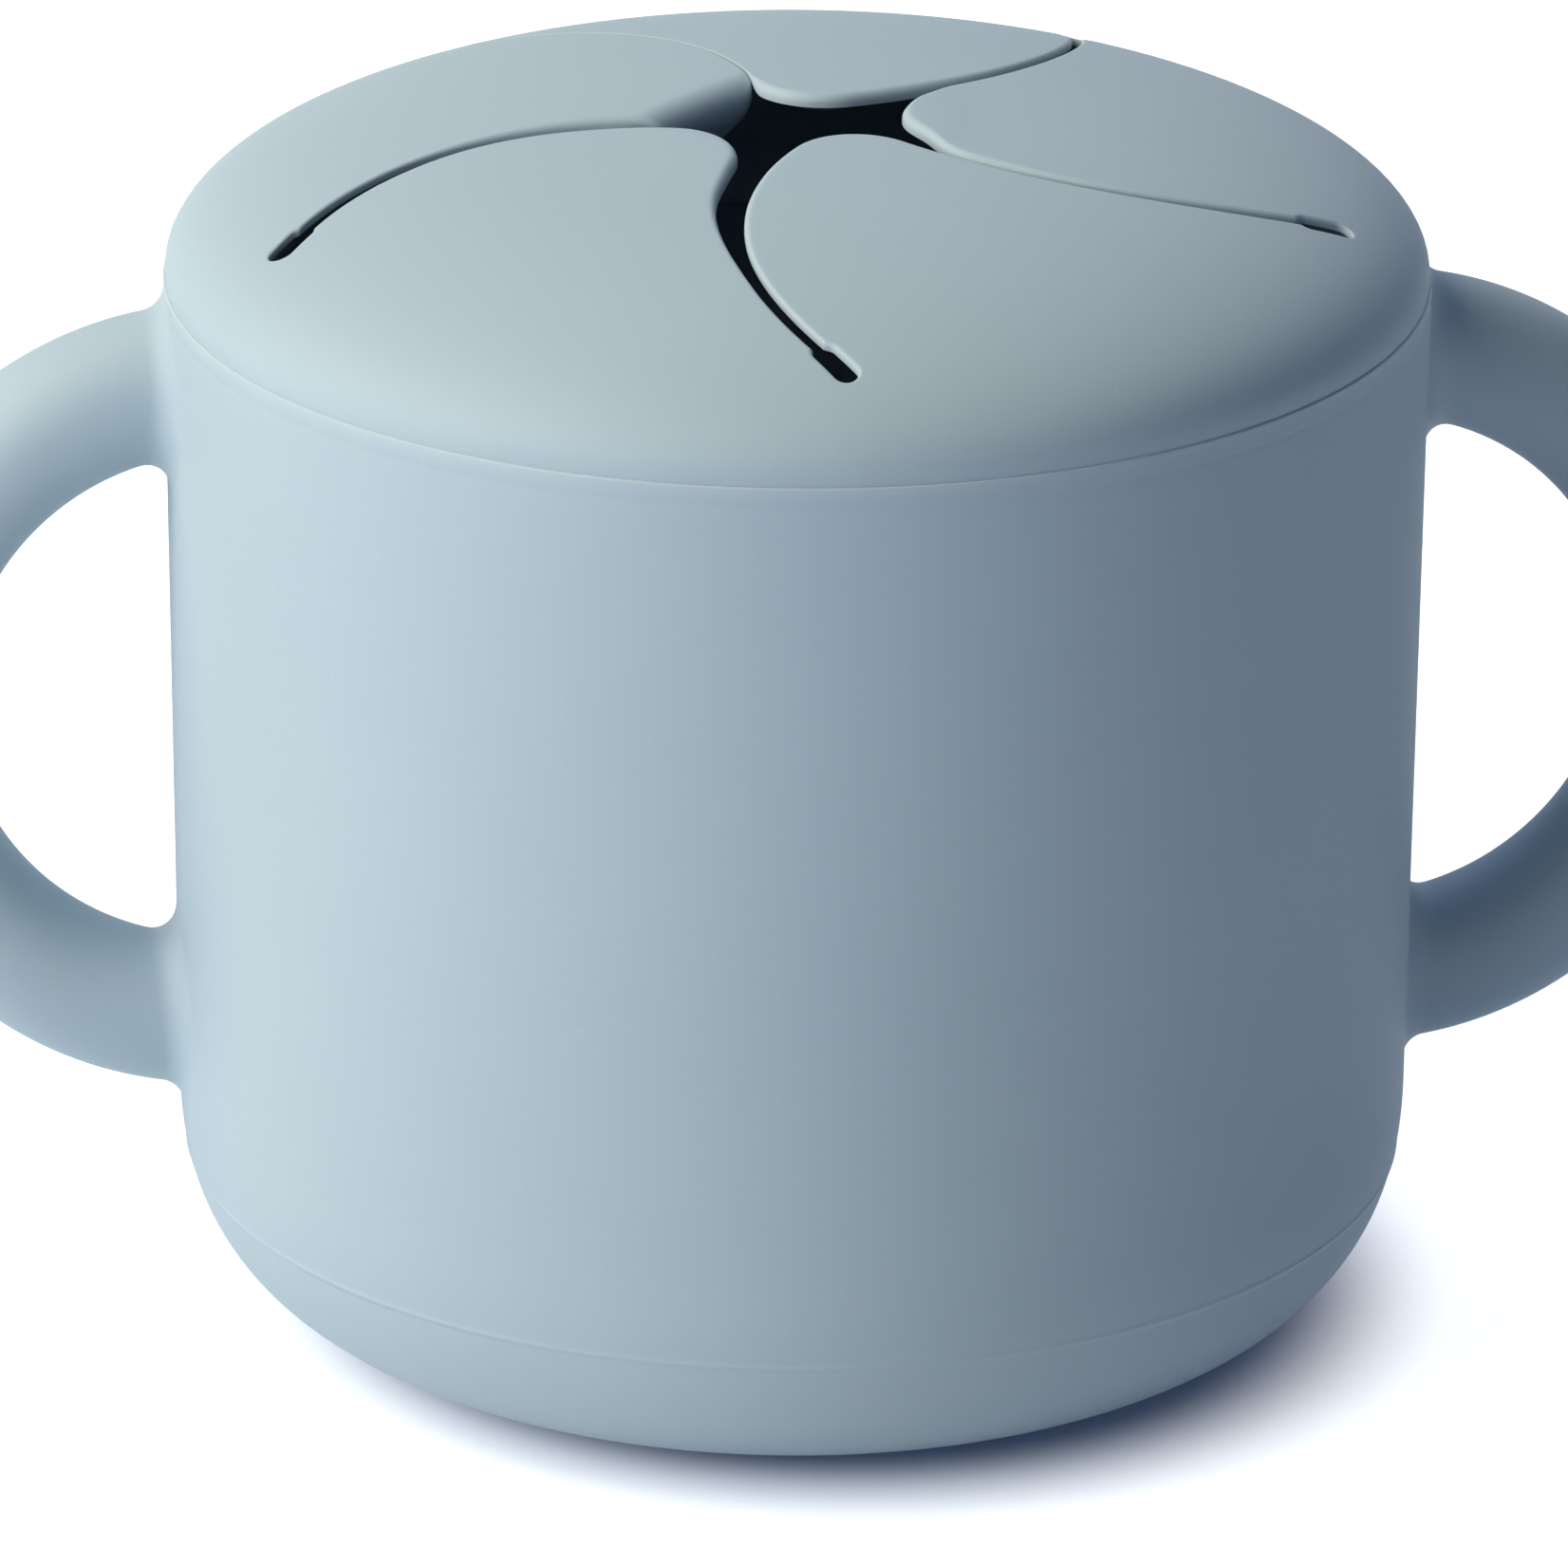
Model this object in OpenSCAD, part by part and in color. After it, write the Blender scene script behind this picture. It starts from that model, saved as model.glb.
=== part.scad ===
// Toddler snack container: a silicone cup with two ring handles and a press-on lid, whose top is cut
// into five soft flaps round a small star-shaped opening.
// Millimetres. The origin is the middle of the cup's resting face, +Z is up, the handles lie along X.

/* [Cup] */
// Outer diameter of the cup at its mouth
mouth_d = 89; // [84:0.5:96]
// How much smaller the cup's radius is where its wall meets the rounded foot
wall_draft = 0.5; // [0:0.1:3]
// Height of the cup's mouth above its resting face
cup_h = 77; // [72:1:90]
// Thickness of the cup's wall
wall_t = 2.2; // [1.8:0.1:3]
// Thickness of the cup's floor
floor_t = 2.6; // [2:0.1:3.6]
// How far the rounded foot reaches in from the wall
foot_in = 19; // [14:0.5:24]
// How far the rounded foot reaches up the wall
foot_up = 17.5; // [14:0.5:22]
// Fullness of the foot's curve, where 2 is a plain ellipse
foot_full = 2.5; // [2:0.1:3]
// Height of the fine moulding line round the foot
foot_line_h = 8; // [5:0.5:10]

/* [Handles] */
// Distance of the outermost point of a handle from the cup's axis
handle_reach = 68.6; // [64:0.2:76]
// Height of the middle of the handles, as a share of the cup's height
handle_mid_share = 0.601; // [0.58:0.001:0.605]
// Height of a handle over both roots, as a share of the cup's height
handle_share = 0.756; // [0.65:0.002:0.76]
// Thickness of a handle at its roots, seen from the front
root_t = 10.4; // [8:0.2:13]
// Thickness of a handle at its grip, seen from the front
grip_t = 9.5; // [7:0.1:12]
// Width of a handle from front to back
handle_w = 10.6; // [8:0.2:14]
// Radius of the fillet between a handle and the wall
root_fillet = 1.5; // [0.6:0.1:2]

/* [Lid] */
// Height of the lid's crown above the cup's mouth
lid_rise = 11.5; // [9:0.5:14]
// Thickness of the lid's top and its flaps
lid_t = 1.8; // [1.4:0.1:2.4]
// Flatness of the lid's crown, where 2 is a plain ellipse
crown_flat = 2.05; // [1.9:0.05:2.4]
// Fullness of the lid's shoulder, where 2 is a plain ellipse
shoulder_full = 2.27; // [2:0.01:2.6]
// Depth of the plug that goes down inside the mouth
plug_depth = 9; // [6:0.5:14]
// Thickness of the plug
plug_t = 1.9; // [1.4:0.1:2.6]
// Running clearance between the plug and the cup's wall
plug_gap = 0.4; // [0.3:0.05:0.6]
// How far the two sealing ribs stand out of the plug
rib_out = 0.3; // [0.15:0.05:0.4]
// Height of one sealing rib
rib_h = 1.4; // [1:0.1:2]
// Radius of the softened edges on both sides of the seam
seam_round = 0.6; // [0.3:0.1:0.9]

/* [Flaps] */
// Width of a slit between two flaps
slit_w = 1; // [0.8:0.1:1.4]
// Radius of a slit's curve
slit_r = 27.3; // [25:0.1:30]
// Least distance of a slit's curve from the lid's axis
slit_pass = 2.7; // [2.2:0.1:3.4]
// Distance of a slit's outer end from the lid's axis
slit_end = 36; // [34:0.5:37]
// Length of the relief hole at a slit's outer end
relief_l = 4; // [3:0.5:5]
// Width of the relief hole at a slit's outer end
relief_w = 1.7; // [1.4:0.1:2.4]
// Radius of a flap's rounded tip
tip_r = 5; // [3:0.5:6]
// Distance of the line that a flap bends along from the lid's axis
bend_at = 22; // [20:0.5:24]
// Clearance between a flap's rounded root and its groove in the lid
bend_gap = 0.3; // [0.2:0.05:0.4]
// Direction of the first slit's outer end, anticlockwise from +X
slit_turn = 49.8; // [0:0.1:72]

/* [Hidden] */
$fn = 96;

FLAPS = 5;
STEP = 360 / FLAPS;
CUP_COLOUR = [0.70, 0.77, 0.80];
HANDLE_COLOUR = [0.62, 0.70, 0.75];
LID_COLOUR = [0.66, 0.74, 0.78];
PLUG_COLOUR = [0.55, 0.63, 0.69];
FLAP_COLOUR = [0.72, 0.79, 0.82];
// Segments of a quarter curve in a turned profile
CURVE_STEPS = 12;
// Segments of the lid's crown from its axis to a flap's root
CROWN_STEPS = 6;
// Reach of a cutting shape beyond what it cuts
OVER = 40;
// What a flap's root is larger than the shell it crosses
ROOT_MARGIN = 0.02;
// What the round of a flap's tip is larger than the circle that would only touch the slits' edges
TIP_MARGIN = 0.02;
// The shoulder's last point before the seam, as the angle whose sine gives its distance from the axis
SHOULDER_END = 88;

mouth_r = mouth_d / 2;
foot_r = mouth_r - wall_draft;
inner_mouth_r = mouth_r - wall_t;
plug_r = inner_mouth_r - plug_gap;
plug_in_r = plug_r - plug_t;

// The middle of a slit's circle, seen from above, with the slit's outer end on +X
slit_mid_dist = slit_r + slit_pass;
slit_mid_dir = acos((slit_end ^ 2 + slit_mid_dist ^ 2 - slit_r ^ 2) / (2 * slit_end * slit_mid_dist));
// The way a slit runs at its outer end, counted from straight out
slit_end_dir = atan2(slit_end - slit_mid_dist * cos(slit_mid_dir), slit_mid_dist * sin(slit_mid_dir));

// Where the bend line meets the slits on both sides of a flap, as a distance from the axis
bend_end = bend_at / cos(STEP / 2);
// Direction of a flap's bend line from the axis, counted from the flap's own slit
bend_dir = slit_dir(bend_end) + STEP / 2;
// The bend line's height, and the radius of the flap's root round it
bend_z = (lid_top(bend_at) + lid_under(bend_end)) / 2;
bend_r = (lid_top(bend_at) - lid_under(bend_end)) / 2 + ROOT_MARGIN;
// The cap's shell starts a little inside the bend lines, which its cuts then follow
cap_inner_r = bend_at - 1;

// Direction of a slit's middle line at distance r from the axis, counted from its outer end
function slit_dir(r) = slit_mid_dir - acos((r ^ 2 + slit_mid_dist ^ 2 - slit_r ^ 2) / (2 * r * slit_mid_dist));

// Heights of the lid's outer and inner surface at distance r from the axis
function dome(r, edge, rise) = cup_h + rise * pow(max(0, 1 - pow(r / edge, crown_flat)), 1 / shoulder_full);
function lid_top(r) = dome(r, mouth_r, lid_rise);
function lid_under(r) = dome(r, plug_in_r, lid_rise - lid_t);

function polar(r, a) = [r * cos(a), r * sin(a)];
function arc(mid, r, from, to, steps) = [for (i = [0:steps]) mid + polar(r, from + (to - from) * i / steps)];

// A point of the foot's curve: a is 0 on the resting face and 90 on the wall, up is how far the curve climbs
function foot_point(a, rim_r, reach, low, up) =
    [rim_r - reach + reach * pow(sin(a), 2 / foot_full), low + up * (1 - pow(cos(a), 2 / foot_full))];
// The value of a at which the foot's curve is h above its low end
function foot_angle(h, up) = acos(pow(1 - h / up, foot_full / 2));

function foot_outside(from, to) =
    [for (i = [0:CURVE_STEPS]) foot_point(from + (to - from) * i / CURVE_STEPS, foot_r, foot_in, 0, foot_up)];
function foot_inside(from, to) =
    [for (i = [0:CURVE_STEPS])
        foot_point(from + (to - from) * i / CURVE_STEPS, foot_r - wall_t, foot_in - wall_t, floor_t, foot_up - floor_t)];
line_outside = foot_angle(foot_line_h, foot_up);
line_inside = foot_angle(foot_line_h - floor_t, foot_up - floor_t);

function reversed(list) = [for (i = [len(list) - 1:-1:0]) list[i]];

// ---- Cup ----

// The floor and the rounded foot, up to the moulding line
module cup_base() {
    color(CUP_COLOUR)
        rotate_extrude()
            polygon(concat([[0, 0]], foot_outside(0, line_outside), foot_inside(line_inside, 0), [[0, floor_t]]));
}

// The wall, from the moulding line to the mouth, with softened edges at the mouth
module cup_wall() {
    color(CUP_COLOUR)
        rotate_extrude()
            polygon(concat(
                foot_outside(line_outside, 90),
                arc([mouth_r - seam_round, cup_h - seam_round], seam_round, 0, 90, 4),
                arc([inner_mouth_r + seam_round, cup_h - seam_round], seam_round, 90, 180, 4),
                foot_inside(90, line_inside)));
}

// The space inside the cup's outer surface
module cup_envelope() {
    rotate_extrude()
        polygon(concat([[0, 0]], foot_outside(0, 90), [[mouth_r, cup_h], [0, cup_h]]));
}

// ---- Handles ----

// Corners of a handle's section and rings along it
SECTION_SIDES = 20;
GRIP_RINGS = 18;
FILLET_RINGS = 4;
// Fullness of a handle's section, where 2 is a plain ellipse
SECTION_FULL = 2.2;
// The middle line of a handle is half an ellipse, whose middle lies just inside the wall
handle_mid_x = foot_r - root_t / 4;
handle_mid_h = cup_h * handle_mid_share;
line_reach = handle_reach - grip_t / 2 - handle_mid_x;
line_rise = (cup_h * handle_share - root_t) / 2;

// Directions on the half ellipse: through the fillet's rings near the wall, then evenly round the grip
function ring_dir(x) = acos((x - handle_mid_x) / line_reach);
fillet_start = ring_dir(mouth_r + root_fillet);
ring_dirs = concat(
    [90],
    [for (i = [0:FILLET_RINGS - 1]) ring_dir(mouth_r + root_fillet * i / FILLET_RINGS)],
    [for (i = [0:GRIP_RINGS]) fillet_start * (1 - 2 * i / GRIP_RINGS)],
    [for (i = [FILLET_RINGS - 1:-1:0]) -ring_dir(mouth_r + root_fillet * i / FILLET_RINGS)],
    [-90]);

// How much the section grows at distance d from the wall
function flare(d) = d >= root_fillet ? 0
    : root_fillet - sqrt(root_fillet ^ 2 - (root_fillet - max(0, d)) ^ 2);
function swell(a) = flare(line_reach * cos(a) + handle_mid_x - mouth_r);
function half_t(a) = (grip_t + (root_t - grip_t) * sin(a) ^ 2) / 2 + swell(a);
function half_w(a) = handle_w / 2 + swell(a);
function full(v) = sign(v) * pow(abs(v), 2 / SECTION_FULL);

// One ring of the section, square to the middle line
function handle_ring(a) =
    let (
        mid = [handle_mid_x + line_reach * cos(a), 0, handle_mid_h + line_rise * sin(a)],
        out = [line_rise * cos(a), 0, line_reach * sin(a)],
        side = out / norm(out))
    [for (j = [0:SECTION_SIDES - 1])
        let (t = 360 * j / SECTION_SIDES)
        mid + side * half_t(a) * full(cos(t)) + [0, half_w(a) * full(sin(t)), 0]];

module handle_sweep() {
    rings = len(ring_dirs);
    last = (rings - 1) * SECTION_SIDES;
    polyhedron(
        points = [for (a = ring_dirs) each handle_ring(a)],
        faces = concat(
            [[for (j = [0:SECTION_SIDES - 1]) j]],
            [for (i = [0:rings - 2], j = [0:SECTION_SIDES - 1])
                let (k = i * SECTION_SIDES, n = (j + 1) % SECTION_SIDES)
                each [[k + j, k + SECTION_SIDES + j, k + n],
                      [k + n, k + SECTION_SIDES + j, k + SECTION_SIDES + n]]],
            [[for (j = [SECTION_SIDES - 1:-1:0]) last + j]]));
}

module right_handle() {
    color(HANDLE_COLOUR)
        difference() {
            handle_sweep();
            cup_envelope();
        }
}

module left_handle() {
    mirror([1, 0, 0]) right_handle();
}

// ---- Lid ----

// Distances from the axis: even ones for the flat crown, and closer ones towards the steep shoulder
function crown(to) = [for (i = [0:CROWN_STEPS]) to * i / CROWN_STEPS];
function shoulder(edge, from) =
    let (start = asin(from / edge))
    [for (i = [0:CURVE_STEPS]) edge * sin(start + (SHOULDER_END - start) * i / CURVE_STEPS)];

// Points of the lid's outer and inner surface at a list of distances from the axis
function on_top(list) = [for (r = list) [r, lid_top(r)]];
function on_underside(list) = [for (r = reversed(list)) [r, lid_under(r)]];

// The lid as a turned shell without its slits, from the distance inner_r outwards
module lid_shell(inner_r) {
    rotate_extrude()
        polygon(concat(
            on_top(shoulder(mouth_r, inner_r)),
            arc([mouth_r - seam_round, cup_h + seam_round], seam_round, 0, -90, 4),
            [[plug_in_r, cup_h]],
            on_underside(shoulder(plug_in_r, inner_r))));
}

// A disc bounded by one side of slit k's curve, shift beyond the slit's middle line
module slit_disc(k, shift) {
    translate(polar(slit_mid_dist, slit_turn + STEP * k + slit_mid_dir)) circle(r = slit_r + shift);
}

// What lies between slit k and the next one, where each edge is drawn in by inset
module sector(k, inset) {
    difference() {
        slit_disc(k, -inset);
        slit_disc(k + 1, inset);
    }
}

// The side of flap k's bend line on which the lid's axis lies
module inside_bend(k) {
    rotate(slit_turn + STEP * k + bend_dir)
        translate([bend_at - OVER, -OVER / 2]) square([OVER, OVER]);
}

// A round bar along flap k's bend line
module bend_bar(k, r) {
    rotate([0, 0, slit_turn + STEP * k + bend_dir])
        translate([bend_at, 0, bend_z])
            rotate([90, 0, 0]) cylinder(r = r, h = OVER, center = true);
}

// The middle of a flap's rounded tip, from the two slit circles that it touches: along the line between
// their middles, and across it
tip_side = slit_r - slit_w / 2 - tip_r;
tip_next = slit_r + slit_w / 2 + tip_r;
mids_apart = 2 * slit_mid_dist * sin(STEP / 2);
tip_along = (mids_apart ^ 2 + tip_side ^ 2 - tip_next ^ 2) / (2 * mids_apart);
tip_across = sqrt(tip_side ^ 2 - tip_along ^ 2);

// The sharp corner that a rounded tip replaces, with the first slit circle's middle at the origin and the
// next one's on +X
module sharp_corner() {
    tip = [tip_along, tip_across];
    to_side = tip / norm(tip);
    to_next = (tip - [mids_apart, 0]) / norm(tip - [mids_apart, 0]);
    polygon([tip, tip + to_side * tip_r * 3, tip + (to_side - to_next) * tip_r * 3, tip - to_next * tip_r * 3]);
}

// Places what is drawn in sharp_corner's frame at flap k
module at_corner(k) {
    first = polar(slit_mid_dist, slit_turn + STEP * k + slit_mid_dir);
    second = polar(slit_mid_dist, slit_turn + STEP * (k + 1) + slit_mid_dir);
    way = second - first;
    translate(first) rotate(atan2(way[1], way[0])) children();
}

// Flap k seen from above, as far as its bend line
module flap_plan(k) {
    difference() {
        intersection() {
            inside_bend(k);
            sector(k, slit_w / 2);
        }
        at_corner(k)
            difference() {
                sharp_corner();
                translate([tip_along, tip_across]) circle(r = tip_r + TIP_MARGIN);
            }
    }
}

module flap(k) {
    color(FLAP_COLOUR)
        intersection() {
            rotate_extrude()
                polygon(concat(on_top(crown(bend_end + bend_r)), on_underside(crown(bend_end + bend_r))));
            union() {
                translate([0, 0, cup_h]) linear_extrude(OVER) flap_plan(k);
                intersection() {
                    bend_bar(k, bend_r);
                    translate([0, 0, cup_h]) linear_extrude(OVER) sector(k, slit_w / 2);
                }
            }
        }
}

// The lid's shoulder and rim, with the slits' outer stretches, their relief holes and the flaps' grooves
module lid_cap() {
    color(LID_COLOUR)
        difference() {
            lid_shell(cap_inner_r);
            for (k = [0:FLAPS - 1]) {
                translate([0, 0, cup_h]) linear_extrude(OVER) {
                    intersection() {
                        inside_bend(k);
                        sector(k, 0);
                    }
                    slit_band(k);
                    relief_hole(k);
                }
                intersection() {
                    bend_bar(k, bend_r + bend_gap);
                    translate([0, 0, cup_h]) linear_extrude(OVER) sector(k, 0);
                }
            }
        }
}

// Slit k seen from above, out to the first round of its relief hole
module slit_band(k) {
    intersection() {
        difference() {
            slit_disc(k, slit_w / 2);
            slit_disc(k, -slit_w / 2);
        }
        rotate(slit_turn + STEP * k - STEP / 2) square(slit_end + relief_w);
        circle(r = slit_end + relief_w / 2 * cos(slit_end_dir));
    }
}

// The long hole that goes on where slit k ends, so that the silicone doesn't tear on
module relief_hole(k) {
    translate(polar(slit_end, slit_turn + STEP * k))
        rotate(slit_turn + STEP * k + slit_end_dir) {
            for (d = [relief_w / 2, relief_l - relief_w / 2]) translate([d, 0]) circle(d = relief_w);
            translate([relief_w / 2, -relief_w / 2]) square([relief_l - relief_w, relief_w]);
        }
}

// Outer radius of the plug at the height z, which follows the wall's draft
function plug_at(z) = plug_r - wall_draft * (cup_h - z) / (cup_h - foot_up);

// The skirt below the lid, with two sealing ribs that press on the inside of the cup's wall
module lid_plug() {
    low = cup_h - plug_depth;
    lead_in = plug_t / 3;
    color(PLUG_COLOUR)
        rotate_extrude()
            polygon(concat(
                [[plug_at(low) - plug_t, low], [plug_at(low) - lead_in, low], [plug_at(low + lead_in), low + lead_in]],
                [for (n = [1, 2]) each rib(low + plug_depth * n / 3)],
                [[plug_r, cup_h], [plug_in_r, cup_h]]));
}

// Outline of one sealing rib round the height z
function rib(z) = [for (i = [-3:3])
    let (h = z + rib_h / 2 * i / 3)
    [plug_at(h) + rib_out * (1 - (i / 3) ^ 2), h]];

cup_base();
cup_wall();
left_handle();
right_handle();
lid_cap();
lid_plug();
flap(0);  // flap_1
flap(1);  // flap_2
flap(2);  // flap_3
flap(3);  // flap_4
flap(4);  // flap_5
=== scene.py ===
# %% [markdown]
# # A toddler's snack cup in soft silicone
# The real object is two soft mouldings. One is a cup with a ring handle on each side. The other is a domed
# lid, pressed into the cup's mouth, whose top is cut by five curved slits into flaps, so that a small hand
# can reach in while the snacks stay inside. The frame gives the moving bodies and the hinges. This lesson
# lays smooth surfaces over that frame, gives them a silicone finish and lights them softly.

# %% Load the frame
import math

import bmesh
import bpy
import numpy as np
from mathutils import Matrix


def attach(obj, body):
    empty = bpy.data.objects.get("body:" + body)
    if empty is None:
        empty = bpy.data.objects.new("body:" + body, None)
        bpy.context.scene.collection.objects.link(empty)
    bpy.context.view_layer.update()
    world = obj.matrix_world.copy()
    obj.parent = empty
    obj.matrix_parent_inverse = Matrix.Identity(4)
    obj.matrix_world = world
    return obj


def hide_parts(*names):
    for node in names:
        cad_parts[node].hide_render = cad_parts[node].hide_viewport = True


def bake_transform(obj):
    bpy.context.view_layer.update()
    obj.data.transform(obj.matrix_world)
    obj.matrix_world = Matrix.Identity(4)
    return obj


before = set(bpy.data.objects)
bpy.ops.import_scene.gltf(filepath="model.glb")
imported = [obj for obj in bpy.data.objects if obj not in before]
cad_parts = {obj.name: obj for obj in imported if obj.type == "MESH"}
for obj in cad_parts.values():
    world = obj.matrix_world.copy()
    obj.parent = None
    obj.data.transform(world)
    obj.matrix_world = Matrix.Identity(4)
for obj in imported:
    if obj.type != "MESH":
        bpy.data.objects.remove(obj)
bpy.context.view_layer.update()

# %% [markdown]
# ## The sizes
# A silicone moulding is drawn from a few sizes: radii, heights and wall thicknesses. They could be read off
# the frame's meshes, but a formula needs the sizes themselves, so they are named numbers in millimetres.
# First come the ones that several pieces share, and each of the others comes where it is first needed.
# Blender works in metres, and each mesh is scaled down when it is made.

# %% Sizes that several pieces share
MM = 0.001
MOUTH_R = 44.5
CUP_H = 77.0
WALL_T = 2.2
WALL_DRAFT = 0.5
FOOT_R = MOUTH_R - WALL_DRAFT
FOOT_UP = 17.5


def wall_r(height):
    """Outer radius of the straight wall, which widens evenly from the foot to the mouth."""
    return FOOT_R + WALL_DRAFT * (height - FOOT_UP) / (CUP_H - FOOT_UP)


print(f"cup {CUP_H} mm high, {2 * MOUTH_R} mm across its mouth and {2 * wall_r(FOOT_UP)} mm at the foot's top")

# %% [markdown]
# ## From a grid of points to a closed piece
# Every surface here is a grid: rows of points worked out at once by numpy, with a cell between each four
# neighbours. Where a surface closes on itself, or ends in a pole, several points share one place. One
# function makes them one point, so that the mesh is a closed skin, and Blender then turns its faces
# outwards. A modifier could also merge the points, but only after the mesh exists and with less control.

# %% The cells of a grid
def grid_cells(rows, columns, around=False):
    """Corners of each cell of a grid counted row by row; around joins its last column to its first."""
    row = np.arange(rows - 1)[:, None] * columns
    column = np.arange(columns if around else columns - 1)[None, :]
    after = (column + 1) % columns
    corners = [row + column, row + after, row + columns + after, row + columns + column]
    return np.stack(corners, -1).reshape(-1, 4)


print("the cells of 2 rows and 3 columns:", grid_cells(2, 3).tolist())

# %% Weld the points that share a place
WELD_DIGITS = 4


def weld(points, cells):
    """Make points in one place one point. A cell that loses a corner is a triangle, and a flat one goes."""
    rounded = np.round(points, WELD_DIGITS)
    _, first, place = np.unique(rounded, axis=0, return_index=True, return_inverse=True)
    cells = place.ravel()[cells]
    doubled = cells == np.roll(cells, -1, axis=1)
    lost = doubled.sum(axis=1)
    triangles = cells[lost == 1][~doubled[lost == 1]].reshape(-1, 3)
    return points[first], cells[lost == 0].tolist() + triangles.tolist()


at_pole = np.array([[0, 0, 0], [0, 0, 0], [1, 0, 0], [1, 1, 0]])
print("a cell with two corners at a pole becomes", weld(at_pole, np.array([[0, 1, 3, 2]]))[1])

# %% Turn a skin outwards
CM3 = 1e6


def turn_outwards(mesh):
    """Turn all faces outwards. Gives the volume in cm3, and the number of edges without exactly two faces."""
    skin = bmesh.new()
    skin.from_mesh(mesh)
    bmesh.ops.recalc_face_normals(skin, faces=skin.faces)
    if skin.calc_volume(signed=True) < 0:
        bmesh.ops.reverse_faces(skin, faces=skin.faces)
    volume = skin.calc_volume(signed=True) * CM3
    skin.to_mesh(mesh)
    skin.free()
    edge_of_corner = np.empty(len(mesh.loops), dtype=np.int32)
    mesh.loops.foreach_get("edge_index", edge_of_corner)
    return volume, int(np.count_nonzero(np.bincount(edge_of_corner) != 2))


pyramid = bpy.data.meshes.new("pyramid")
pyramid.from_pydata([(0, 0, 0), (0.1, 0, 0), (0, 0.1, 0), (0, 0, 0.1)], [],
                    [(0, 1, 2), (0, 2, 3), (0, 3, 1), (1, 2, 3)])
print("a pyramid to try it on: {:.1f} cm3, {} open edges".format(*turn_outwards(pyramid)))
bpy.data.meshes.remove(pyramid)

# %% Make a piece
CRISP = math.radians(50)


def make_piece(name, points, cells, body, nodes, finish, wear_and_highlight):
    """A closed, smooth piece that rides on a body and stands for the frame's nodes. Its edge mask, for wear and
    a painted highlight, is set per point.
    """
    points, faces = weld(np.column_stack([points, wear_and_highlight]), cells)
    mesh = bpy.data.meshes.new(name)
    mesh.from_pydata((points[:, :3] * MM).tolist(), [], faces)
    mesh.attributes.new("wear_and_highlight", "FLOAT", "POINT").data.foreach_set("value", points[:, 3].astype(np.float32))
    volume, open_edges = turn_outwards(mesh)
    mesh.shade_smooth()
    mesh.set_sharp_from_angle(angle=CRISP)
    mesh.materials.append(finish)
    piece = bpy.data.objects.new(name, mesh)
    bpy.context.scene.collection.objects.link(piece)
    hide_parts(*nodes)
    if body:
        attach(piece, body)
    print(f"{name}: {len(points)} points, {len(faces)} faces, {volume:.2f} cm3, {open_edges} open edges")
    return piece


print(f"edges that turn by more than {math.degrees(CRISP):.0f} degrees stay crisp")

# %% [markdown]
# ## Shader maths written as Python
# A material is a graph of nodes. Placing each node by hand hides what is computed, so a small class wraps
# the output of a node and overloads the operators: the sum of two wrapped values adds a Math node. Any
# other node comes from one method, which takes its type, its settings and what goes into its sockets.

# %% Values that can be added and multiplied
class Value:
    """The output of a node, which can be added, subtracted and multiplied as a number is."""

    def __init__(self, recipe, socket):
        self.recipe = recipe
        self.socket = socket

    def _maths(self, operation, *terms):
        return self.recipe.node("ShaderNodeMath", {"operation": operation}, dict(enumerate(terms)))

    def __add__(self, other):
        return self._maths("ADD", self, other)

    def __mul__(self, other):
        return self._maths("MULTIPLY", self, other)

    def __sub__(self, other):
        return self._maths("SUBTRACT", self, other)

    def __rsub__(self, other):
        return self._maths("SUBTRACT", other, self)

    __radd__ = __add__
    __rmul__ = __mul__


print("sums, differences and products of values add Math nodes")

# %% Recipes of nodes
class Recipe:
    """A material, or the world's surface, that is built up node by node."""

    def __init__(self, name, shelf=None):
        self.made = (bpy.data.materials if shelf is None else shelf).new(name)
        self.made.use_nodes = True
        self.tree = self.made.node_tree
        self.tree.nodes.clear()

    def node(self, kind, settings=None, sockets=None, output=0):
        """Add a node: its settings first, then a value or a link for each socket. Gives one output."""
        new = self.tree.nodes.new(kind)
        for key, value in (settings or {}).items():
            setattr(new, key, value)
        for key, value in (sockets or {}).items():
            if isinstance(value, Value):
                self.tree.links.new(value.socket, new.inputs[key])
            else:
                new.inputs[key].default_value = value
        return Value(self, new.outputs[output]) if new.outputs else None

    def mix(self, factor, first, second):
        """A colour between two, where factor 0 is the first. Sockets 6 and 7 of the node take colours."""
        sockets = {"Factor": factor, 6: first, 7: second}
        return self.node("ShaderNodeMix", {"data_type": "RGBA"}, sockets, output=2)

    def ramp(self, value, start, end):
        """A number that eases from 0 to 1 while the value goes from start to end."""
        sockets = {"Value": value, "From Min": start, "From Max": end}
        return self.node("ShaderNodeMapRange", {"interpolation_type": "SMOOTHSTEP"}, sockets)

    def looked_at(self):
        """1 for a ray that brings something into view, directly, in a gloss or through glass, else 0."""
        kinds = ("Is Camera Ray", "Is Glossy Ray", "Is Transmission Ray")
        camera, gloss, glass = [self.node("ShaderNodeLightPath", output=kind) for kind in kinds]
        return camera + gloss + glass


print("recipes make nodes, mixes and ramps")
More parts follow.
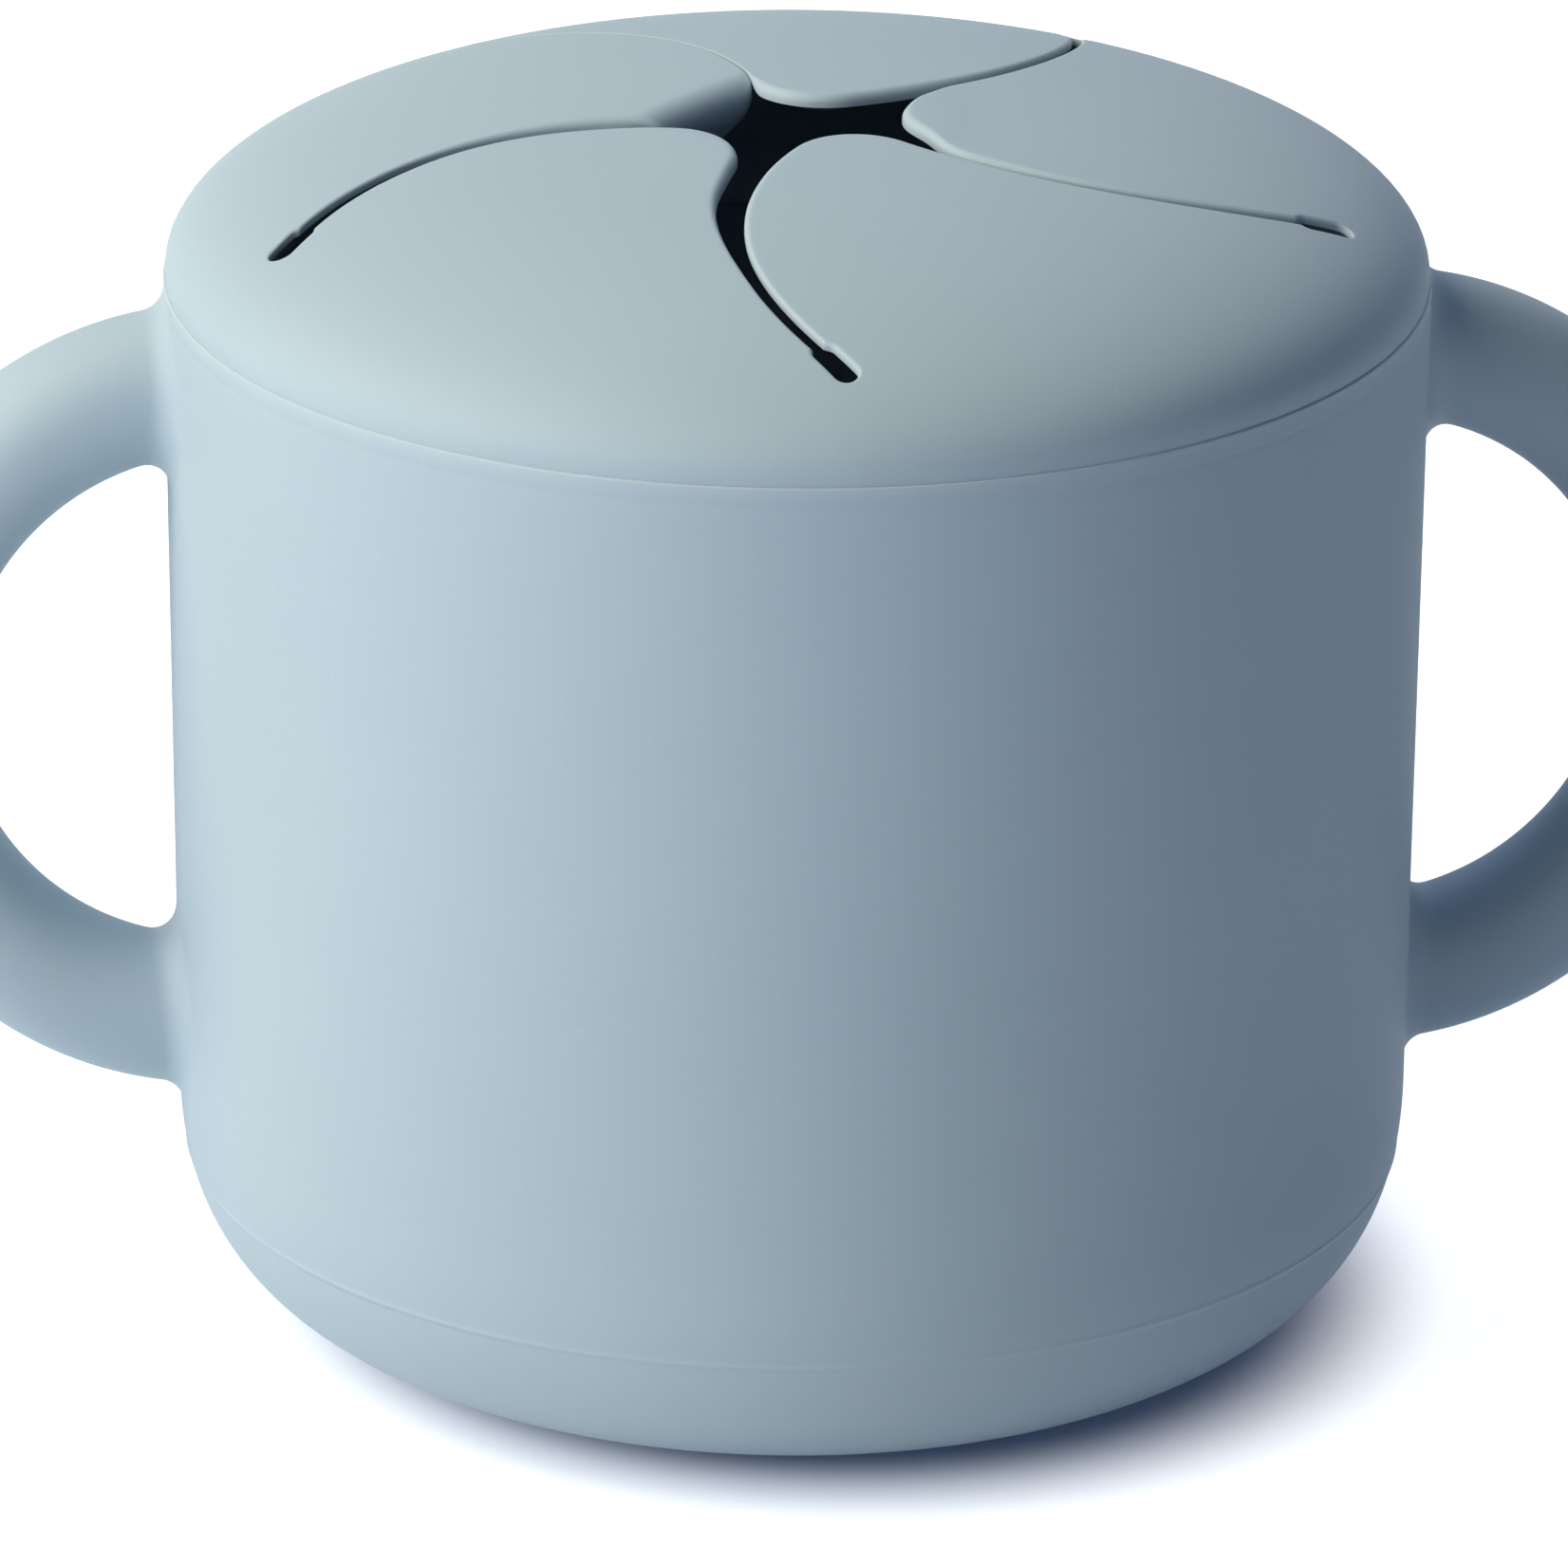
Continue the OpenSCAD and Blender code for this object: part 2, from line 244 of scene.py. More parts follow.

# %% [markdown]
# ## The silicone
# Food-grade silicone is dyed through, so its colour is even, but it is never perfectly so: the moulded skin
# is matt and slightly uneven, fine dust clings to it, and fingers polish the edges that they rub. A flat
# colour would look like paint. Noises at the right sizes give the drift of the dye, the grain and the lumps
# of the mould and the dust. A number that each mesh carries tells where the edges are, and there the colour
# is lighter: partly for wear, partly as a painted highlight along the rounded edges that catch the light.

# %% Colours and grain of the silicone
DYE = (0.400, 0.492, 0.556, 1)
DYE_DEEP = (0.375, 0.466, 0.533, 1)
# The colour of the dust, which is also the colour of the painted highlight on the edges
DUST_AND_HIGHLIGHT = (0.60, 0.66, 0.69, 1)
DRIFT_SIZE, GRAIN_SIZE, LUMP_SIZE, SPECK_SIZE = 24, 0.35, 1.6, 0.9
SPECKS_FROM, SPECKS_FULL = 0.66, 0.74
# How much the specks of dust lighten the colour, and how much the edges are lightened: partly wear, partly a
# painted highlight
SPECK_SHARE, RUBBED_AND_HIGHLIGHT_SHARE = 0.14, 0.22
GRAIN_SHARE, LUMP_SHARE = 0.7, 0.3
RELIEF_DEPTH, RELIEF_STRENGTH = 0.04, 0.16
MATT = 0.56
GRAIN_MATT, SPECK_MATT, RUBBED_POLISH = 0.10, 0.08, 0.08
print(f"grain {GRAIN_SIZE} mm, specks {SPECK_SIZE} mm, relief {RELIEF_DEPTH} mm deep")

# %% The silicone finish
def silicone(name, polish=0.0):
    """Dyed, matt silicone: drifting dye, a fine mould grain, dust in specks, and rubbed edges that are also
    painted lighter as a highlight.
    """
    recipe = Recipe(name)
    place = recipe.node("ShaderNodeTexCoord", output="Object")

    def noise(size_mm, detail, rough=0.5):
        return recipe.node("ShaderNodeTexNoise", {}, {
            "Vector": place, "Scale": 1 / (size_mm * MM), "Detail": detail, "Roughness": rough})

    drift = noise(DRIFT_SIZE, detail=2)
    grain = noise(GRAIN_SIZE, detail=2, rough=0.6)
    specks = recipe.ramp(noise(SPECK_SIZE, detail=3, rough=0.7), SPECKS_FROM, SPECKS_FULL)
    wear_and_highlight = recipe.node("ShaderNodeAttribute", {"attribute_name": "wear_and_highlight"}, output="Fac")

    dyed = recipe.mix(drift, DYE, DYE_DEEP)
    # Dust in specks, and the edges lightened: partly wear, partly a painted highlight on the rounded edges
    dusty_and_highlit = recipe.mix(specks * SPECK_SHARE + wear_and_highlight * RUBBED_AND_HIGHLIGHT_SHARE, dyed, DUST_AND_HIGHLIGHT)
    relief = grain * GRAIN_SHARE + noise(LUMP_SIZE, detail=1) * LUMP_SHARE
    surface = recipe.node("ShaderNodeBump", {}, {
        "Strength": RELIEF_STRENGTH, "Distance": RELIEF_DEPTH * MM, "Height": relief})
    shader = recipe.node("ShaderNodeBsdfPrincipled", {}, {
        "Base Color": dusty_and_highlit,
        "Roughness": MATT - polish + grain * GRAIN_MATT + specks * SPECK_MATT - wear_and_highlight * RUBBED_POLISH,
        "IOR": 1.41,
        "Specular IOR Level": 0.28,
        "Sheen Weight": 0.03,
        "Sheen Roughness": 0.5,
        "Normal": surface})
    recipe.node("ShaderNodeOutputMaterial", {}, {"Surface": shader})
    return recipe.made


cup_silicone = silicone("cup_silicone")
handle_silicone = silicone("handle_silicone", polish=0.03)
lid_silicone = silicone("lid_silicone")
print("three silicone finishes, one dye")

# %% [markdown]
# ## The cup
# The cup is turned: one outline, carried round the axis, makes its outside, its mouth, its inside and its
# floor. Blender's Spin or Screw could turn it, but a formula gives every point at once and lets the outline
# follow the real curve. The foot is a superellipse, which is fuller than a quarter circle. A fine raised
# line shows where the two halves of the mould meet, low on the foot, and a finer groove runs below the rim.

# %% Curves of an outline
FOOT_FULL = 2.5
TURN_STEPS = 256


def foot_curve(angle, rim_r, reach, low, up):
    """Superellipse quarter: out by sine to the power 2/fullness, up by one less cosine to that power."""
    power = 2 / FOOT_FULL
    return rim_r - reach + reach * np.sin(angle) ** power, low + up * (1 - np.cos(angle) ** power)


def round_corner(mid_r, mid_z, radius, start, end, steps=7):
    """Points of an arc of an outline, from one angle to another in degrees."""
    angle = np.radians(np.linspace(start, end, steps))
    return mid_r + radius * np.cos(angle), mid_z + radius * np.sin(angle)


def joined(parts):
    """One outline from several, end to end: distances from the axis, and heights."""
    return np.concatenate([r for r, _ in parts]), np.concatenate([z for _, z in parts])


def turned(outline, steps=TURN_STEPS):
    """Carry an outline round the axis: x and y are its distance times the cosine and sine of the angle."""
    r, z = outline
    angle = 2 * np.pi * np.arange(steps) / steps
    x, y = r[:, None] * np.cos(angle), r[:, None] * np.sin(angle)
    points = np.stack([x, y, np.broadcast_to(z[:, None], x.shape)], -1).reshape(-1, 3)
    return points, grid_cells(len(r), steps, around=True)


print("a turned outline of 3 points has", len(turned(round_corner(1, 0, 1, 0, 90, 3))[0]), "points")

# %% Lines that the mould leaves
FOOT_LINE_H = 12.0
FOOT_LINE_OUT = 0.08
RIM_LINE_H = CUP_H - 1.5
RIM_LINE_IN = 0.03
LINE_HALF_W = 0.22


def mould_line(height, line_h, out):
    """How far a line of the mould stands out: a bell curve of the height above or below it."""
    return out * np.exp(-((height - line_h) / LINE_HALF_W) ** 2)


print(f"a ridge {FOOT_LINE_H} mm up, {FOOT_LINE_OUT} mm out, a groove {RIM_LINE_H} mm up, {RIM_LINE_IN} mm in")

# %% The cup's outside
FOOT_IN = 19.0
WALL_FROM = FOOT_UP + 4
RIM_ROUND = 0.15
FOOT_ROWS, FOOT_LINE_ROWS, WALL_ROWS, RIM_ROWS = 70, 25, 12, 14
RIM_ZONE = 0.8
# The foot's rows have heights that grow with this power of their share, so they lie closer at its low, flat
# part. More rows lie close about the line: so much of a share to each side.
LOW_POWER = 1.5
LINE_SHARE = 0.022


def foot_outside():
    """The foot's outline from the resting face to the wall, with its mould line."""
    at_line = (FOOT_LINE_H / FOOT_UP) ** (1 / LOW_POWER)
    near_line = at_line + np.linspace(-1, 1, FOOT_LINE_ROWS) * LINE_SHARE
    share = np.sort(np.append(np.linspace(0, 1, FOOT_ROWS), near_line))
    angle = np.arccos((1 - share ** LOW_POWER) ** (FOOT_FULL / 2))
    r, z = foot_curve(angle, FOOT_R, FOOT_IN, 0, FOOT_UP)
    return r + mould_line(z, FOOT_LINE_H, FOOT_LINE_OUT), z


def wall_outside():
    """The wall's outline up to the rim: a few rows, and closer ones about the groove below the rim."""
    plain = np.linspace(WALL_FROM, RIM_LINE_H - 1, WALL_ROWS)
    grooved = np.linspace(RIM_LINE_H - RIM_ZONE, CUP_H - RIM_ROUND, RIM_ROWS)
    height = np.concatenate([plain, grooved])
    return wall_r(height) + mould_line(height, RIM_LINE_H, -RIM_LINE_IN), height


print(f"the foot's outline has {len(foot_outside()[0])} points and the wall's {len(wall_outside()[0])}")

# %% Make the cup
FLOOR_T = 2.6
MOUTH_ROUND = 0.6
BASE_RING_R = 12.0
INSIDE_ROWS = 30
RIM_WORN = 1.0


def cup_outline():
    """From the middle of the resting face, over the outside and the mouth, to the middle of the floor."""
    down = np.radians(np.linspace(90, 0, INSIDE_ROWS))
    return joined([
        (np.array([0.0, BASE_RING_R]), np.zeros(2)),
        foot_outside(),
        wall_outside(),
        round_corner(MOUTH_R - RIM_ROUND, CUP_H - RIM_ROUND, RIM_ROUND, 0, 90),
        round_corner(MOUTH_R - WALL_T + MOUTH_ROUND, CUP_H - MOUTH_ROUND, MOUTH_ROUND, 90, 180),
        foot_curve(down, FOOT_R - WALL_T, FOOT_IN - WALL_T, FLOOR_T, FOOT_UP - FLOOR_T),
        (np.array([0.0]), np.array([FLOOR_T])),
    ])


points, cells = turned(cup_outline())
rim_wear = np.clip(1 - np.abs(CUP_H - points[:, 2]) / RIM_WORN, 0, 1)
make_piece("soft_cup", points, cells, "cup", ["cup_base", "cup_wall"], cup_silicone, rim_wear)

# %% [markdown]
# ## The handles
# Each handle is half an elliptical ring, moulded in one piece with the wall. It could be half a torus, but
# the real one is a little thicker at its roots, its section is slightly squared, and a small fillet leads it
# into the wall. So a section is carried along half an ellipse, and near the wall the section swells. How
# much it swells follows from the true distance to the round wall, so that the fillet meets it smoothly.

# %% A point of the handle
HANDLE_REACH = 68.6
HANDLE_MID_H = CUP_H * 0.601
HANDLE_H = CUP_H * 0.756
ROOT_T = 10.4
GRIP_T = 9.5
HANDLE_W = 10.6
HANDLE_MID_X = FOOT_R - ROOT_T / 4
SECTION_FULL = 2.2


def squared(v):
    """A sine or cosine to the power 2/fullness, with its sign kept, for a slightly squared section."""
    return np.sign(v) * np.abs(v) ** (2 / SECTION_FULL)


def handle_point(way, turn, swell):
    """A point of the handle: the middle line at the angle way, plus the section at the angle turn."""
    reach = HANDLE_REACH - GRIP_T / 2 - HANDLE_MID_X
    rise = (HANDLE_H - ROOT_T) / 2
    mid_x, mid_z = HANDLE_MID_X + reach * np.cos(way), HANDLE_MID_H + rise * np.sin(way)
    side_x, side_z = rise * np.cos(way), reach * np.sin(way)
    length = np.hypot(side_x, side_z)
    thick = (GRIP_T + (ROOT_T - GRIP_T) * np.sin(way) ** 2) / 2 + swell
    across = squared(np.cos(turn)) * thick
    y = squared(np.sin(turn)) * (HANDLE_W / 2 + swell)
    return np.stack([mid_x + across * side_x / length, y, mid_z + across * side_z / length], -1)


print("the handle's outermost point in mm:", handle_point(0.0, 0.0, 0.0).round(2).tolist())

# %% Where the handle meets the wall
HALVINGS = 45
DEEP_WAY = math.radians(89)
CLEAR_SHARE = 0.3


def by_halving(inside, outside, within):
    """The place between two at which a test stops being true: the interval is halved again and again."""
    for _ in range(HALVINGS):
        middle = (inside + outside) / 2
        true_here = within(middle)
        inside = np.where(true_here, middle, inside)
        outside = np.where(true_here, outside, middle)
    return (inside + outside) / 2


def way_at_distance(distance, turn, swell, end):
    """The angle along the handle at which its swollen surface is so far from the wall."""
    def not_so_far(way):
        point = handle_point(way, turn, swell)
        return np.hypot(point[..., 0], point[..., 1]) - wall_r(point[..., 2]) <= distance
    return by_halving(end, end * CLEAR_SHARE, not_so_far)


touch = float(way_at_distance(0.0, 0.0, 0.0, DEEP_WAY))
print(f"the top of the handle meets the wall at {math.degrees(touch):.1f} degrees along it")

# %% The handle's rings
SECTION_STEPS = 72
GRIP_RINGS = 96
FILLET_RINGS = 9
OUTER_FILLET = 1.5
INNER_FILLET = 2.2
BURIED = 1.1


def handle_surface():
    """Rings from the upper root to the lower one: buried ends, quarter-circle fillets, and the grip."""
    turn = (2 * np.pi * np.arange(SECTION_STEPS) / SECTION_STEPS)[None, :]
    quarter = np.linspace(90, 0, FILLET_RINGS)[:, None] * np.pi / 180
    fillet = OUTER_FILLET + (INNER_FILLET - OUTER_FILLET) * (1 - np.cos(turn)) / 2
    distance = np.vstack([np.full_like(turn, -BURIED), fillet * (1 - np.sin(quarter))])
    swell = np.vstack([fillet, fillet * (1 - np.cos(quarter))])
    top = way_at_distance(distance, turn, swell, DEEP_WAY)
    bottom = way_at_distance(distance, turn, swell, -DEEP_WAY)
    share = np.linspace(0, 1, GRIP_RINGS + 2)[1:-1, None]
    grip = top[-1:] * (1 - share) + bottom[-1:] * share
    way = np.vstack([top, grip, bottom[::-1]])
    swell = np.vstack([swell, np.zeros_like(grip), swell[::-1]])
    rings = handle_point(way, turn, swell)
    ends = [np.broadcast_to(ring.mean(axis=0), ring.shape)[None] for ring in (rings[0], rings[-1])]
    return np.concatenate([ends[0], rings, ends[1]])


rings = handle_surface()
print(f"{len(rings)} rings of {SECTION_STEPS} points")

# %% Make both handles
RUB_FROM, RUB_FADE, RUB_MOST = 8, 12, 0.3
cells = grid_cells(len(rings), SECTION_STEPS, around=True)
for side, name in ((1, "right"), (-1, "left")):
    points = rings.reshape(-1, 3) * [side, 1, 1]
    grip_wear = np.clip((points[:, 0] * side - MOUTH_R - RUB_FROM) / RUB_FADE, 0, 1) * RUB_MOST
    make_piece(f"soft_handle_{name}", points, cells, "cup", [f"{name}_handle"],
               handle_silicone, grip_wear)

# %% [markdown]
# ## The lid's dome and its slits
# Seen from above, each slit is part of a circle that passes close to the lid's axis, and ends in a long
# relief hole, so that the silicone doesn't tear on. The five circles swirl round the axis like a shutter.
# The lid could be cut from a dome with booleans, but their edges can't be rounded well. Here each fifth of
# the lid is its own grid, whose rows are arcs round the axis that reach from one slit to the next. The
# distance from the nearest edge then gives the soft rounding of the edge.

# %% The dome
LID_RISE = 11.5
LID_T = 1.8
LID_INSET = 0.07
LID_R = MOUTH_R - LID_INSET
CROWN_FLAT = 2.05
SHOULDER_FULL = 2.27


def dome(r, edge, rise):
    """Height of the dome: a superellipse of the distance from the axis, flat on top, steep at its edge."""
    return CUP_H + rise * np.clip(1 - (r / edge) ** CROWN_FLAT, 0, 1) ** (1 / SHOULDER_FULL)


print(f"the dome is {dome(0.0, LID_R, LID_RISE):.1f} mm up in its middle")

# %% Soft edges
TIP_ROUND, HOLE_ROUND, SHUT_ROUND = 0.65, 0.28, 0.07
TIP_FAR, HOLE_FAR = 8, 30
SHUT_FROM, SHUT_FADE = 7, 3


def smooth_step(share):
    """From 0 to 1, level at both ends: three squares less two cubes."""
    share = np.clip(share, 0, 1)
    return share ** 2 * (3 - 2 * share)


def edge_round(far, shut):
    """Radius of the rounded edge: soft at the flaps' tips, crisp round the holes, sharp at a shut slit."""
    radius = TIP_ROUND - (TIP_ROUND - HOLE_ROUND) * smooth_step((far - TIP_FAR) / (HOLE_FAR - TIP_FAR))
    sharper = radius - (radius - SHUT_ROUND) * smooth_step((far - SHUT_FROM) / SHUT_FADE)
    return np.where(shut, sharper, radius)


def softened(gap, radius):
    """How far a rounded edge has dropped at this distance from it: a quarter circle."""
    inward = np.clip(radius - gap, 0, radius)
    return radius - np.sqrt(radius ** 2 - inward ** 2)


print(f"a tip's edge drops {softened(0.1, TIP_ROUND):.2f} mm at 0.1 mm from it")

# %% Where the slits run
FLAPS = 5
STEP = 2 * math.pi / FLAPS
SLIT_TURN = math.radians(49.8)
SLIT_R = 27.3
SLIT_MID = SLIT_R + 2.7
SLIT_END = 36.0
# Half the width of each slit at rest. A slit that is cut so fine nearly shuts when the flaps lie flat.
HALF_SLITS = {"back": 0.35, "back_left": 0.10, "left": 0.60, "front": 0.50, "right": 0.42}
SHUT_HALF = HALF_SLITS["back_left"]


def circle_turn(r, radius):
    """Half the angle that a slit's circle covers at this distance from the axis, by the cosine rule."""
    return np.arccos(np.clip((r ** 2 + SLIT_MID ** 2 - radius ** 2) / (2 * r * SLIT_MID), -1, 1))


END_TURN = float(circle_turn(SLIT_END, SLIT_R))
print(f"each slit ends {SLIT_END} mm out, turned {math.degrees(END_TURN):.1f} degrees from its circle's middle")

# %% The relief holes
# All of this has the middle of the slit's circle on +X. A hole is a line with two round ends, which runs on
# the way that the slit was running at its end.
RELIEF_R = 0.85
RELIEF_L = 4.0
slit_end = SLIT_END * np.array([math.cos(-END_TURN), math.sin(-END_TURN)])
from_mid = slit_end - [SLIT_MID, 0]
relief_way = np.array([-from_mid[1], from_mid[0]]) / np.linalg.norm(from_mid)
relief_near = slit_end + relief_way * RELIEF_R
relief_far = slit_end + relief_way * (RELIEF_L - RELIEF_R)
RELIEF_FAR_R = float(np.hypot(*relief_far))
HOLE_END_R = RELIEF_FAR_R + RELIEF_R
HOLE_END_TURN = math.atan2(relief_far[1], relief_far[0])


def opening_gap(x, y, turn, half):
    """Distance from a slit and its hole: from a circle, less half the slit's width, or from a line."""
    u, v = x * math.cos(turn) + y * math.sin(turn), y * math.cos(turn) - x * math.sin(turn)
    slit = np.abs(np.hypot(u - SLIT_MID, v) - SLIT_R) - half
    du, dv = u - relief_near[0], v - relief_near[1]
    along, across = du * relief_way[0] + dv * relief_way[1], dv * relief_way[0] - du * relief_way[1]
    hole = np.hypot(along - np.clip(along, 0, RELIEF_L - 2 * RELIEF_R), across) - RELIEF_R
    return np.minimum(np.where(along <= 0, slit, hole), hole)


def opening_turn(r):
    """Direction of the middle of a slit, or of its relief hole, at this distance from the axis."""
    dot = slit_end @ relief_way
    along = -dot + np.sqrt(np.maximum(dot ** 2 - SLIT_END ** 2 + r ** 2, 0))
    hole = np.arctan2(slit_end[1] + along * relief_way[1], slit_end[0] + along * relief_way[0])
    hole = np.where(r > RELIEF_FAR_R, HOLE_END_TURN, hole)
    return np.where(r > SLIT_END, hole, -circle_turn(r, SLIT_R))


print(f"relief holes end at {HOLE_END_R:.2f} mm")

# %% A fifth of the lid
TIP_R = 5.0
TIP_ZONE_R = 9
SAME = 1e-9


class Fifth:
    """A fifth of the lid between two slits, with the round tip that touches the circles of both."""

    def __init__(self, low_slit, high_slit):
        self.low_half, self.high_half = HALF_SLITS[low_slit], HALF_SLITS[high_slit]
        this_mid, next_mid = SLIT_MID * np.array([[1, 0], [math.cos(STEP), math.sin(STEP)]])
        this_reach, next_reach = SLIT_R - self.low_half - TIP_R, SLIT_R + self.high_half + TIP_R
        apart = np.linalg.norm(next_mid - this_mid)
        toward = (next_mid - this_mid) / apart
        along = (apart ** 2 + this_reach ** 2 - next_reach ** 2) / (2 * apart)
        across = math.sqrt(this_reach ** 2 - along ** 2)
        self.tip_mid = this_mid + toward * along + np.array([-toward[1], toward[0]]) * across
        self.tip_at = float(np.hypot(*self.tip_mid)) - TIP_R
        self.tip_turn = math.atan2(self.tip_mid[1], self.tip_mid[0])
        self.tip_sides = np.linalg.inv(np.column_stack([
            (self.tip_mid - this_mid) / this_reach, (next_mid - self.tip_mid) / next_reach]))

    def slit_gaps(self, x, y):
        """Distance of a point from each of the two slits."""
        return opening_gap(x, y, 0, self.low_half), opening_gap(x, y, STEP, self.high_half)

    def by_shut_slit(self, x, y):
        """Whether the nearer slit is the one that is shut."""
        low, high = self.slit_gaps(x, y)
        return np.where(low < high, self.low_half, self.high_half) == SHUT_HALF

    def edge_gap(self, x, y):
        """Distance of a point from the nearest edge: a slit, a hole or the round tip."""
        dx, dy = x - self.tip_mid[0], y - self.tip_mid[1]
        to_this = self.tip_sides[0, 0] * dx + self.tip_sides[0, 1] * dy
        to_next = self.tip_sides[1, 0] * dx + self.tip_sides[1, 1] * dy
        in_tip = (to_this > 0) & (to_next > 0)
        return np.where(in_tip, TIP_R - np.hypot(dx, dy), np.minimum(*self.slit_gaps(x, y)))

    def edge_turns(self, r):
        """Directions of both edges at each distance from the axis, found by halving towards the edge."""
        low, high = opening_turn(r), opening_turn(r) + STEP
        inside = np.where(r < TIP_ZONE_R, self.tip_turn, (low + high) / 2)

        def within(turn):
            return self.edge_gap(r * np.cos(turn), r * np.sin(turn)) > 0
        edges = []
        for outside, past_holes in ((low, HOLE_END_TURN), (high, HOLE_END_TURN + STEP)):
            edge = np.where(r <= self.tip_at + SAME, self.tip_turn, by_halving(inside, outside, within))
            edges.append(np.where(r >= HOLE_END_R - SAME, past_holes, edge))
        return edges


slit_order = ["back", "back_left", "left", "front", "right"]
fifths = [Fifth(slit_order[k], slit_order[(k + 1) % FLAPS]) for k in range(FLAPS)]
print("flap tips start at", [round(fifth.tip_at, 2) for fifth in fifths], "mm from the axis")

# %% [markdown]
# ## Rows and columns of a fifth
# Where a surface turns quickly, it needs more points: at the soft edges, the flap's tip and the relief
# holes. So each row packs its columns closer at both ends, and the rows themselves lie closer at the tip
# and the holes. The flap and the ring outside it share the row where they join, point for point.

# %% Place the points of a fifth
EDGE_COLUMNS = 11
MIDDLE_COLUMNS = 26
EDGE_ZONE = 1.25


def easing(steps):
    """One less the cosine, from 0 to 1 in even steps of its angle: places that lie closer at the start."""
    return 1 - np.cos(np.linspace(0, np.pi / 2, steps))


eased = easing(EDGE_COLUMNS)


def across_row(low, high, r):
    """Directions of the points of each row: close together at both ends, even in between."""
    width = (high - low) * r
    zone = np.minimum(EDGE_ZONE, width / 3)[:, None] / np.maximum(r, SAME)[:, None]
    low, high = low[:, None], high[:, None]
    even = np.linspace(0, 1, MIDDLE_COLUMNS + 2)[1:-1]
    middle = low + zone + (high - low - 2 * zone) * even
    return np.hstack([low + zone * eased, middle, high - zone * eased[::-1]])


def fifth_rows(fifth, r):
    """Where the points of the rows at these distances from the axis lie, and how far they are from an edge."""
    low, high = fifth.edge_turns(r)
    turn = across_row(low, high, r)
    x, y = r[:, None] * np.cos(turn), r[:, None] * np.sin(turn)
    return x, y, np.maximum(fifth.edge_gap(x, y), 0)


print(f"each row has {2 * EDGE_COLUMNS + MIDDLE_COLUMNS} points")

# %% The top and the underside
PLUG_T = 1.9
PLUG_GAP = 0.4
PLUG_R = MOUTH_R - WALL_T - PLUG_GAP
PLUG_IN_R = PLUG_R - PLUG_T
EDGE_T = 0.3
EDGE_REACH = 2.6


def top_and_under(fifth, r):
    """Both sides of a fifth: the dome, rounded at its edges and thinned there from below, and its wear."""
    x, y, gap = fifth_rows(fifth, r)
    far = np.hypot(x, y)
    over_round = edge_round(far, fifth.by_shut_slit(x, y))
    over, under = dome(far, LID_R, LID_RISE), dome(far, PLUG_IN_R, LID_RISE - LID_T)
    top = over - softened(gap, over_round)
    under = under + (over - over_round - EDGE_T - under) * (1 - smooth_step(gap / EDGE_REACH))
    # Both sides of a fifth: the dome, rounded at its edges and thinned there from below, and its edge mask for
    # wear and a painted highlight.
    return np.stack([x, y, top], -1), np.stack([x, y, under], -1), np.clip(1 - gap / over_round, 0, 1)


def turned_to(points, k):
    """Turn the points of a fifth about the axis to its place on the lid."""
    angle = SLIT_TURN + STEP * k + END_TURN
    c, s = math.cos(angle), math.sin(angle)
    return points @ np.array([[c, s, 0], [-s, c, 0], [0, 0, 1]])


print(f"the lid is {LID_T} mm thick and thins to {EDGE_T} mm over {EDGE_REACH} mm at its edges")

# %% [markdown]
# ## The lid's ring
# Outside the flaps, the lid is one ring: the outer parts of the five fifths, the steep shoulder, the rim
# that rests on the cup, and the skirt that goes down inside the mouth, with two ribs that seal it. Beyond
# the relief holes the fifths meet and are welded, so the same rows run on over the shoulder, round the rim
# and skirt, and back along the underside.

# %% The lid's lip
LIP_FROM = 2.2
LIP_LOW = 0.12
LIP_TUCK = 0.09
LIP_ROWS = 14


def lid_side_r(height):
    """The dome's own radius at a height above the seam: its formula, solved for the distance."""
    return LID_R * (1 - (height / LID_RISE) ** SHOULDER_FULL) ** (1 / CROWN_FLAT)


def lid_lip():
    """The lid's side down to the seam, drawn in a little more towards its bottom."""
    height = np.append(np.linspace(LIP_FROM, LIP_LOW, LIP_ROWS)[1:], 0)
    tuck = LIP_TUCK * (1 - height / LIP_FROM) ** 2
    return lid_side_r(height) - tuck, CUP_H + height


print(f"the lip is {lid_lip()[0][-1]:.2f} mm out at the seam")

# %% The rim and the skirt
SEAT = np.array([43.2, 42.5])
PLUG_DEPTH = 9.0
PLUG_LOW = CUP_H - PLUG_DEPTH
LEAD_R = PLUG_T / 3
INNER_R = 0.3
RIB_OUT = 0.3
RIB_H = 1.4
SKIRT_ROWS, LEAD_ROWS, INNER_ROWS = 44, 5, 4


def plug_r(height):
    """Outer radius of the skirt, which follows the taper of the cup's wall."""
    return PLUG_R - WALL_DRAFT * (CUP_H - height) / (CUP_H - FOOT_UP)


def rib(height, mid):
    """How much of its height a rib has here: one less the square of the distance from its middle."""
    return np.clip(1 - ((height - mid) / (RIB_H / 2)) ** 2, 0, 1)


def rim_and_skirt():
    """Outline from the lid's lip, along the seam, down the ribbed skirt and up its inside."""
    height = np.linspace(CUP_H, PLUG_LOW + LEAD_R, SKIRT_ROWS)
    ribs = rib(height, PLUG_LOW + PLUG_DEPTH / 3) + rib(height, PLUG_LOW + PLUG_DEPTH * 2 / 3)
    low_r = plug_r(PLUG_LOW)
    return joined([
        lid_lip(),
        (SEAT, np.full(2, CUP_H)),
        (plug_r(height) + RIB_OUT * ribs, height),
        round_corner(low_r - LEAD_R, PLUG_LOW + LEAD_R, LEAD_R, 0, -90, LEAD_ROWS),
        round_corner(low_r - PLUG_T + INNER_R, PLUG_LOW + INNER_R, INNER_R, 270, 180, INNER_ROWS),
        (np.linspace(low_r - PLUG_T, PLUG_IN_R, LEAD_ROWS), np.linspace(PLUG_LOW + INNER_R, CUP_H, LEAD_ROWS)),
    ])


